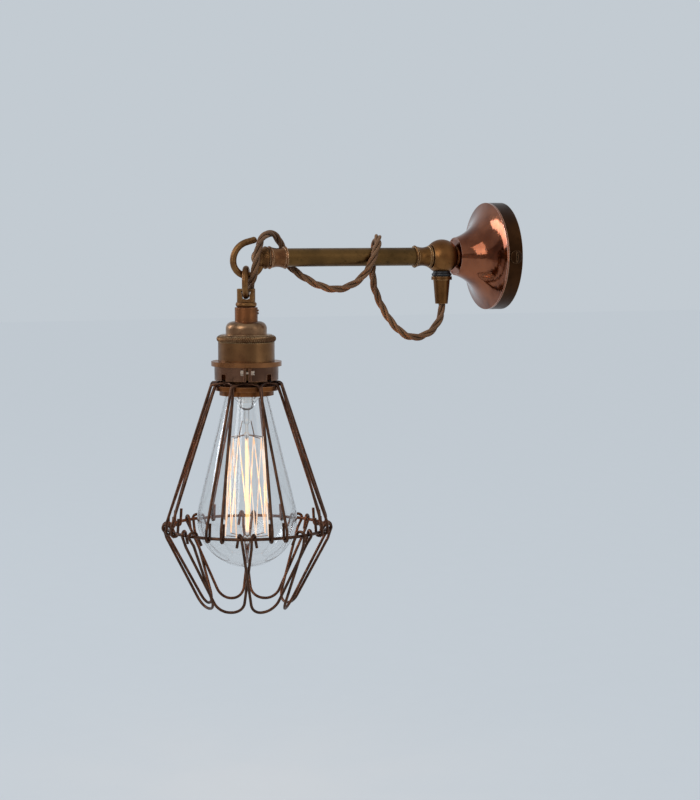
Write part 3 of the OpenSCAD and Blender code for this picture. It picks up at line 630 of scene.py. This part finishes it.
def piece_from(name, mesh):
    """Turns a finished mesh into an object of the scene, with its faces looking outward."""
    mesh.normal_update()
    bmesh.ops.recalc_face_normals(mesh, faces=mesh.faces)
    data = bpy.data.meshes.new(name)
    mesh.to_mesh(data)
    mesh.free()
    piece = bpy.data.objects.new(name, data)
    bpy.context.collection.objects.link(piece)
    print(name, "faces:", len(data.polygons))
    return piece


# %% Spin a profile
def spun(name, profile, sides, wave=None):
    """Spins (radius, height) points round the lamp's axis; wave changes the radius."""
    mesh = bmesh.new()
    rings = []
    for radius, height in profile:
        ring = []
        for k in range(sides):
            a = 2 * math.pi * k / sides
            r = radius + (wave(a, radius, height) if wave else 0)
            ring.append(mesh.verts.new(lamp_axis + Vector((r * math.cos(a), r * math.sin(a), height))))
        rings.append(ring)
    for ring, after in zip(rings, rings[1:]):
        for k in range(sides):
            j = (k + 1) % sides
            mesh.faces.new((ring[k], ring[j], after[j], after[k])).smooth = True
    bmesh.ops.remove_doubles(mesh, verts=mesh.verts, dist=same_point)
    return piece_from(name, mesh)


# %% The bulb's profile
# radii, and heights from the arm's middle, in millimetres; the round end stops pole_gap, in
# radians, before its pole
bulb_r, bulb_centre = 32.0, -166.0
neck_r, neck_level = 14.6, -89.0
neck_lip = [(13.0, -84.3), (13.1, -86.2), (13.7, -87.8)]
glass_wall = 0.9
pip_level = -197.8
pip = [(2.6, -198.15), (1.9, -198.7), (1.2, -199.1), (0.5, -199.25), (0.0, -199.3)]
cone_steps, round_steps = 12, 72
pole_gap = 0.012


def bulb_skin(thin):
    """Radius and height down the bulb: neck, cone and round end, thinner by thin."""
    ball_r = bulb_r - thin
    to_neck = math.hypot(neck_r, neck_level - bulb_centre)
    touch = math.atan2(neck_r, neck_level - bulb_centre) + math.acos(bulb_r / to_neck)
    line = [(radius - thin, height) for radius, height in neck_lip]
    lip_r, lip_level = line[-1]
    meet_r, meet_level = ball_r * math.sin(touch), bulb_centre + ball_r * math.cos(touch)
    for i in range(1, cone_steps):
        t = i / cone_steps
        line.append((lip_r * (1 - t) + meet_r * t, lip_level * (1 - t) + meet_level * t))
    for i in range(round_steps):
        a = touch + (math.pi - touch - pole_gap) * i / (round_steps - 1)
        line.append((ball_r * math.sin(a), bulb_centre + ball_r * math.cos(a)))
    return line


outer, inner = bulb_skin(0.0), bulb_skin(glass_wall)
skin = [(0.0, inner[-1][1])] + inner[::-1] + [point for point in outer if point[1] > pip_level] + pip
print("points in the bulb's profile:", len(skin))

# %% Blown bulb
bulb_sides = 128
blown_bulb = spun("blown_bulb", [(radius * MM, height * MM) for radius, height in skin], bulb_sides)
blown_bulb.data.materials.append(finishes["bulb_glass"])
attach(blown_bulb, "bulb")
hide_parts("lamp_glass")


# %% Rope edge
# the rim's round edge and its bore in millimetres, how far the round edge opens in degrees,
# and the ridges' slant in radians for each metre of height
rim_centre, rim_level, rim_round = 16.75, -51.35, 2.1
rim_bore, rim_foot, rim_top = 17.6, -53.45, -49.25
rim_open, rim_step = 62, 6
rope_sides = 832
ridges = 88
slant = 850
smooth_inside = 17.9 * MM
ridge_depth = 0.8 * MM
ridge_rise = 0.85


def rope(a, radius, height):
    """The slanted ridges: 0.8 mm from groove to crest on the round rim, none inside."""
    if radius < smooth_inside:
        return 0.0
    ridge = abs(math.sin(ridges / 2 * a + slant * height))
    return (ridge - ridge_rise) * ridge_depth


rim = [(rim_bore, rim_foot)]
for degrees in range(-rim_open, rim_open + 1, rim_step):
    b = math.radians(degrees)
    rim.append((rim_centre + rim_round * math.cos(b), rim_level + rim_round * math.sin(b)))
rim += [(rim_bore, rim_top), (rim_bore, rim_foot)]
rope_ring = spun("rope_ring", [(radius * MM, height * MM) for radius, height in rim], rope_sides, rope)
rope_ring.data.materials.append(finishes["knurl_brass"])
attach(rope_ring, "lamp")
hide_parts("knurled_ring")

# %% [markdown]
# ## The cloth flex
# Three cores, each under a woven brown cover, are twisted into one flex. A curve with a
# twisted bevel could make it, but a mesh knows how far each ring lies along the flex, so the
# lay stays even through every bend. Each core is a tube that winds round the flex's centre
# line. Its cover's weave is drawn by two sets of threads that cross on the slant, from the
# tube's own coordinates, so that the weave turns with the core. The centre line repeats the
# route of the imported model.

# %% The flex's route
# points in millimetres: from the grip to the hook, and from there down into the loop nut
flex_d = 5.0 * MM
stretch_steps = 12
run_route = [
    (0, -42.2, -28.2), (0, -42.2, -33), (0.2, -43.2, -40), (0, -49, -48.5), (0, -58, -52.6),
    (-0.5, -67, -51.5), (-2.5, -75.5, -44), (-5.5, -82, -33), (-8.5, -86.4, -20),
    (-9, -87.6, -8), (-8.6, -87.4, 2), (-5, -87, 9.5), (0.5, -87.6, 12.6), (6, -89.6, 9),
    (8.9, -93.2, 1.5), (8, -96.8, -7), (5, -101.5, -14), (2.8, -109, -19), (1.8, -118, -20.6),
    (0.2, -128, -18), (-3.4, -137, -12.8), (-8.4, -144, -6.5), (-10.4, -148, 1.5),
    (-8.6, -151, 8.5), (-4.6, -155.5, 13.4), (0.5, -161.5, 15.2), (5.5, -167, 13.6), (9, -171.2, 8)]
drop_route = [
    (9, -171.2, 8), (9.6, -173.2, 0), (8, -173.6, -6), (5.2, -174, -12), (2.6, -174.4, -16),
    (1.2, -174.55, -18.6), (1.05, -174.55, -21.2)]


def smooth_line(points, steps):
    """A Catmull-Rom line through the points, with a few steps for each stretch."""
    line = []
    last = len(points) - 1
    for i in range(last):
        a, b, c, d = (Vector(points[min(max(j, 0), last)]) for j in (i - 1, i, i + 1, i + 2))
        for k in range(steps):
            t = k / steps
            line.append(0.5 * (2 * b + t * (c - a) + t * t * (2 * a - 5 * b + 4 * c - d)
                               + t * t * t * (3 * b - 3 * c + d - a)))
    return line + [Vector(points[last])]


route = smooth_line([Vector(point) * MM for point in run_route + drop_route[1:]], stretch_steps)
run_steps = stretch_steps * (len(run_route) - 1)
travelled = [0.0]
for before, after in zip(route, route[1:]):
    travelled.append(travelled[-1] + (after - before).length)


# %% Frames along the route
first_guess = Vector((0, 1, 0.1))


def carried_frames(line):
    """At each point a heading and two directions across it, carried along without twist."""
    frames, across = [], None
    for i in range(len(line)):
        heading = (line[min(i + 1, len(line) - 1)] - line[max(i - 1, 0)]).normalized()
        if across is None:
            across = heading.cross(first_guess)
        across = (across - heading * across.dot(heading)).normalized()
        frames.append((heading, across, heading.cross(across)))
    return frames


frames = carried_frames(route)
core_r = flex_d / 2 / (1 + 2 / math.sqrt(3))
core_offset = flex_d / 2 - core_r
lay_length = 29.5 * MM
print("core radius mm:", round(core_r / MM, 2))


# %% Wind the cores
cores = 3
core_sides = 14
stretches_to_link = 3


def wound_cores(name, first, last):
    """The three cores between two points of the route, with the threads' coordinates."""
    mesh = bmesh.new()
    thread = mesh.loops.layers.uv.new("thread")
    for core in range(cores):
        centres = []
        for i in range(first, last + 1):
            turn = 2 * math.pi * (travelled[i] / lay_length + core / cores)
            heading, across, over = frames[i]
            centres.append(route[i] + core_offset * (math.cos(turn) * across + math.sin(turn) * over))
        around = carried_frames(centres)
        rings = []
        for i, centre in enumerate(centres):
            spin = 2 * math.pi * travelled[first + i] / lay_length
            ring = []
            for k in range(core_sides):
                a = 2 * math.pi * k / core_sides + spin
                spoke = math.cos(a) * around[i][1] + math.sin(a) * around[i][2]
                ring.append(mesh.verts.new(centre + core_r * spoke))
            rings.append(ring)
        for i in range(len(rings) - 1):
            for k in range(core_sides):
                j = (k + 1) % core_sides
                face = mesh.faces.new((rings[i][k], rings[i][j], rings[i + 1][j], rings[i + 1][k]))
                face.smooth = True
                corners = ((k, i), (k + 1, i), (k + 1, i + 1), (k, i + 1))
                for loop, (u, v) in zip(face.loops, corners):
                    loop[thread].uv = (u / core_sides, travelled[first + v] / (2 * math.pi * core_r))
        mesh.faces.new(list(reversed(rings[0])))
        mesh.faces.new(rings[-1])
    return piece_from(name, mesh)


link_level = run_steps + stretch_steps * stretches_to_link
flex_run = wound_cores("flex_run", 0, run_steps)
flex_bend = wound_cores("flex_bend", run_steps, link_level)
flex_end = wound_cores("flex_end", link_level, len(route) - 1)


# %% The weave
def make_thread_weave():
    """Two sets of threads that cross on the slant, as a mask and as a height."""
    group, given, result = new_group("thread_weave", {"Threads": 9.0}, ["Thread", "Height"])
    place = group.nodes.new("ShaderNodeUVMap")
    place.uv_map = "thread"
    split = group.nodes.new("ShaderNodeSeparateXYZ")
    group.links.new(place.outputs["UV"], split.inputs[0])
    slants = []
    for sign in (1, -1):
        slant = math_node(group, "ADD", split.outputs["X"],
                          math_node(group, "MULTIPLY", split.outputs["Y"], float(sign)))
        angle = math_node(group, "MULTIPLY", math_node(group, "MULTIPLY", slant, 2 * math.pi),
                          given.outputs["Threads"])
        slants.append(math_node(group, "ABSOLUTE", math_node(group, "SINE", angle)))
    woven = math_node(group, "MAXIMUM", slants[0], slants[1])
    group.links.new(woven, result.inputs["Thread"])
    group.links.new(math_node(group, "POWER", woven, 0.6), result.inputs["Height"])
    return group


thread_weave = make_thread_weave()
print("group:", thread_weave.name)

# %% Cloth cover
threads_round = 9.0
gap_colour = (0.060, 0.032, 0.018)
# painted shade: the near-black brown that the grooves between the cores are darkened to
groove_shade_colour = (0.022, 0.012, 0.007)
groove_shade_reach = 1.8 * MM
groove_shade_samples = 6
thread_height = 0.08 * MM


def cloth_cover():
    """Brown threads, darker in the weave's gaps, with painted shade in the grooves between the cores.
    """
    material, tree, shader = blank("cloth_cover")
    weave = placed(tree, thread_weave, threads=threads_round)
    clouds = placed(tree, tarnish, cloud_scale=90.0, speck_scale=1500.0)
    body = mixed(tree, clouds.outputs["Clouds"], (0.330, 0.160, 0.068), (0.225, 0.103, 0.042))
    shaded = mixed(tree, weave.outputs["Thread"], gap_colour, body)
    # painted shade: ambient occlusion darkens the cloth where the cores meet
    groove = tree.nodes.new("ShaderNodeAmbientOcclusion")
    groove.samples = groove_shade_samples
    groove.inputs["Distance"].default_value = groove_shade_reach
    outside_groove_shade = ramp(tree, groove.outputs["AO"], 0.25, 0.75)
    tree.links.new(mixed(tree, outside_groove_shade, groove_shade_colour, shaded), shader.inputs["Base Color"])
    shader.inputs["Roughness"].default_value = 0.62
    shader.inputs["Sheen Weight"].default_value = 0.15
    shader.inputs["Sheen Roughness"].default_value = 0.4
    shader.inputs["Sheen Tint"].default_value = (0.9, 0.68, 0.45, 1)
    bumped(tree, shader, weave.outputs["Height"], thread_height)
    return material


finishes["cloth_cover"] = cloth_cover()
print("cloth ready")

for piece in (flex_run, flex_bend, flex_end):
    piece.data.materials.append(finishes["cloth_cover"])
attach(flex_run, "bracket")
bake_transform(flex_bend)
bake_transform(flex_end)
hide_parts("cable_run")
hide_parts("cable_drop")

# %% [markdown]
# ## The studio
# A pale floor well under the lamp keeps a soft shadow. The light could come from the world
# alone, but then metal looks flat. So the world gives a little, soft panels give the rest,
# and two dark boards round the camera, which only mirror rays see, give polished metal
# something dark to mirror. Camera, mirror and glass rays see one pale backdrop colour in
# world and floor alike.

# %% World
backdrop = (0.545, 0.597, 0.645)
fill_light = (0.34, 0.36, 0.39)


def looked_at(tree):
    """One for camera, mirror and glass rays, zero for the rays that light the object."""
    paths = tree.nodes.new("ShaderNodeLightPath")
    return math_node(tree, "MAXIMUM", paths.outputs["Is Camera Ray"],
                     math_node(tree, "MAXIMUM", paths.outputs["Is Glossy Ray"],
                               paths.outputs["Is Transmission Ray"]))


world = bpy.data.worlds.new("studio")
bpy.context.scene.world = world
world.use_nodes = True
background = world.node_tree.nodes["Background"]
sky = mixed(world.node_tree, looked_at(world.node_tree), fill_light, backdrop)
world.node_tree.links.new(sky, background.inputs["Color"])
background.inputs["Strength"].default_value = 1.0
print("world ready")

# %% Floor
floor_size = 12
floor_below = 0.12
floor_tones = ((0.115, 0.125, 0.135), (0.12, 0.13, 0.14))
floor_glow = 0.905


def make_floor():
    """A dim floor that takes the shadow and shows the backdrop's colour to the camera."""
    bpy.ops.mesh.primitive_plane_add(size=floor_size, location=(0, 0, cad_low.z - floor_below))
    floor = bpy.context.object
    floor.name = "studio_floor"
    material, tree, shader = blank("studio_floor")
    grain = noise(tree, tree.nodes.new("ShaderNodeTexCoord").outputs["Object"], 40.0)
    tree.links.new(mixed(tree, grain, *floor_tones), shader.inputs["Base Color"])
    shader.inputs["Roughness"].default_value = 1.0
    shader.inputs["Specular IOR Level"].default_value = 0.0
    pale = mixed(tree, grain, tuple(0.985 * c for c in backdrop), backdrop)
    tree.links.new(pale, shader.inputs["Emission Color"])
    glow = math_node(tree, "MULTIPLY", looked_at(tree), floor_glow)
    tree.links.new(glow, shader.inputs["Emission Strength"])
    floor.data.materials.append(material)
    return floor


floor = make_floor()
print("floor at", round(floor.location.z, 3))


# %% Dark boards round the camera
def unseen_by(thing, *rays):
    """Hides an object or a lamp from some kinds of rays."""
    for ray in rays:
        setattr(thing, "visible_" + ray, False)


def dark_flag(name, place, turn, size):
    """An upright dark board that only mirror rays see; size is its width and height."""
    bpy.ops.mesh.primitive_plane_add(size=1, location=place)
    flag = bpy.context.object
    flag.name = name
    width, height = size
    flag.scale = (height, width, 1)
    flag.rotation_euler = (0, math.radians(90), math.radians(turn))
    material, tree, shader = blank(name)
    grain = noise(tree, tree.nodes.new("ShaderNodeTexCoord").outputs["Object"], 3.5)
    cloudy = mixed(tree, ramp(tree, grain, 0.42, 0.6), (0.020, 0.014, 0.012), (0.13, 0.085, 0.065))
    tree.links.new(cloudy, shader.inputs["Emission Color"])
    shader.inputs["Emission Strength"].default_value = 1.0
    shader.inputs["Roughness"].default_value = 1.0
    flag.data.materials.append(material)
    unseen_by(flag, "camera", "diffuse", "transmission", "shadow")
    return flag


dark_flag("side_flag", (2.0, -0.75, -0.02), -20, (3.4, 1.0))
dark_flag("front_flag", (0.2, -2.3, 0.10), -95, (3.2, 1.0))
print("two dark boards stand round the camera")


# %% Soft panels
def soft_panel(name, place, target, size, watts, colour):
    """A rectangular area lamp at a place, turned towards its target."""
    data = bpy.data.lights.new(name, "AREA")
    data.shape = "RECTANGLE"
    data.size, data.size_y = size
    data.energy = watts
    data.color = colour
    panel = bpy.data.objects.new(name, data)
    bpy.context.collection.objects.link(panel)
    panel.location = place
    panel.rotation_mode = "QUATERNION"
    panel.rotation_quaternion = (Vector(target) - Vector(place)).to_track_quat("-Z", "Y")


middle = (cad_low + cad_high) / 2
# each: place, size, watts, colour
panels = {
    "window_panel": ((0.9, -1.3, 0.7), (0.8, 1.1), 7, (1, 1, 1)),
    "left_window": ((-1.0, -1.5, 0.55), (0.5, 0.9), 8, (0.90, 0.93, 1.0)),
    "wall_side_panel": ((0.9, 0.5, 0.25), (0.4, 0.9), 0.6, (1, 1, 1)),
}
for name, (place, size, watts, colour) in panels.items():
    soft_panel(name, place, middle, size, watts, colour)
print("panels:", len(panels))

# %% The lamp's own light
glow_watts = 0.7
glow_colour = (1.0, 0.55, 0.22)
glow_r = 12 * MM
glow_level = -150 * MM
lamp_light_data = bpy.data.lights.new("lamp_glow", "POINT")
lamp_light_data.energy = glow_watts
lamp_light_data.color = glow_colour
lamp_light_data.shadow_soft_size = glow_r
lamp_light = bpy.data.objects.new("lamp_glow", lamp_light_data)
bpy.context.collection.objects.link(lamp_light)
lamp_light.location = lamp_axis + Vector((0, 0, glow_level))
unseen_by(lamp_light, "camera", "glossy", "transmission")
unseen_by(blown_bulb, "shadow")
unseen_by(nodes["lamp_stem"], "shadow")
bpy.context.view_layer.update()
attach(lamp_light, "bulb")
print("the lamp glows with watts:", glow_watts)

# %% [markdown]
# ## Finish
# The view transform stays Standard, so a colour renders about as it is written.

# %% Finish
bpy.context.scene.view_settings.view_transform = "Standard"
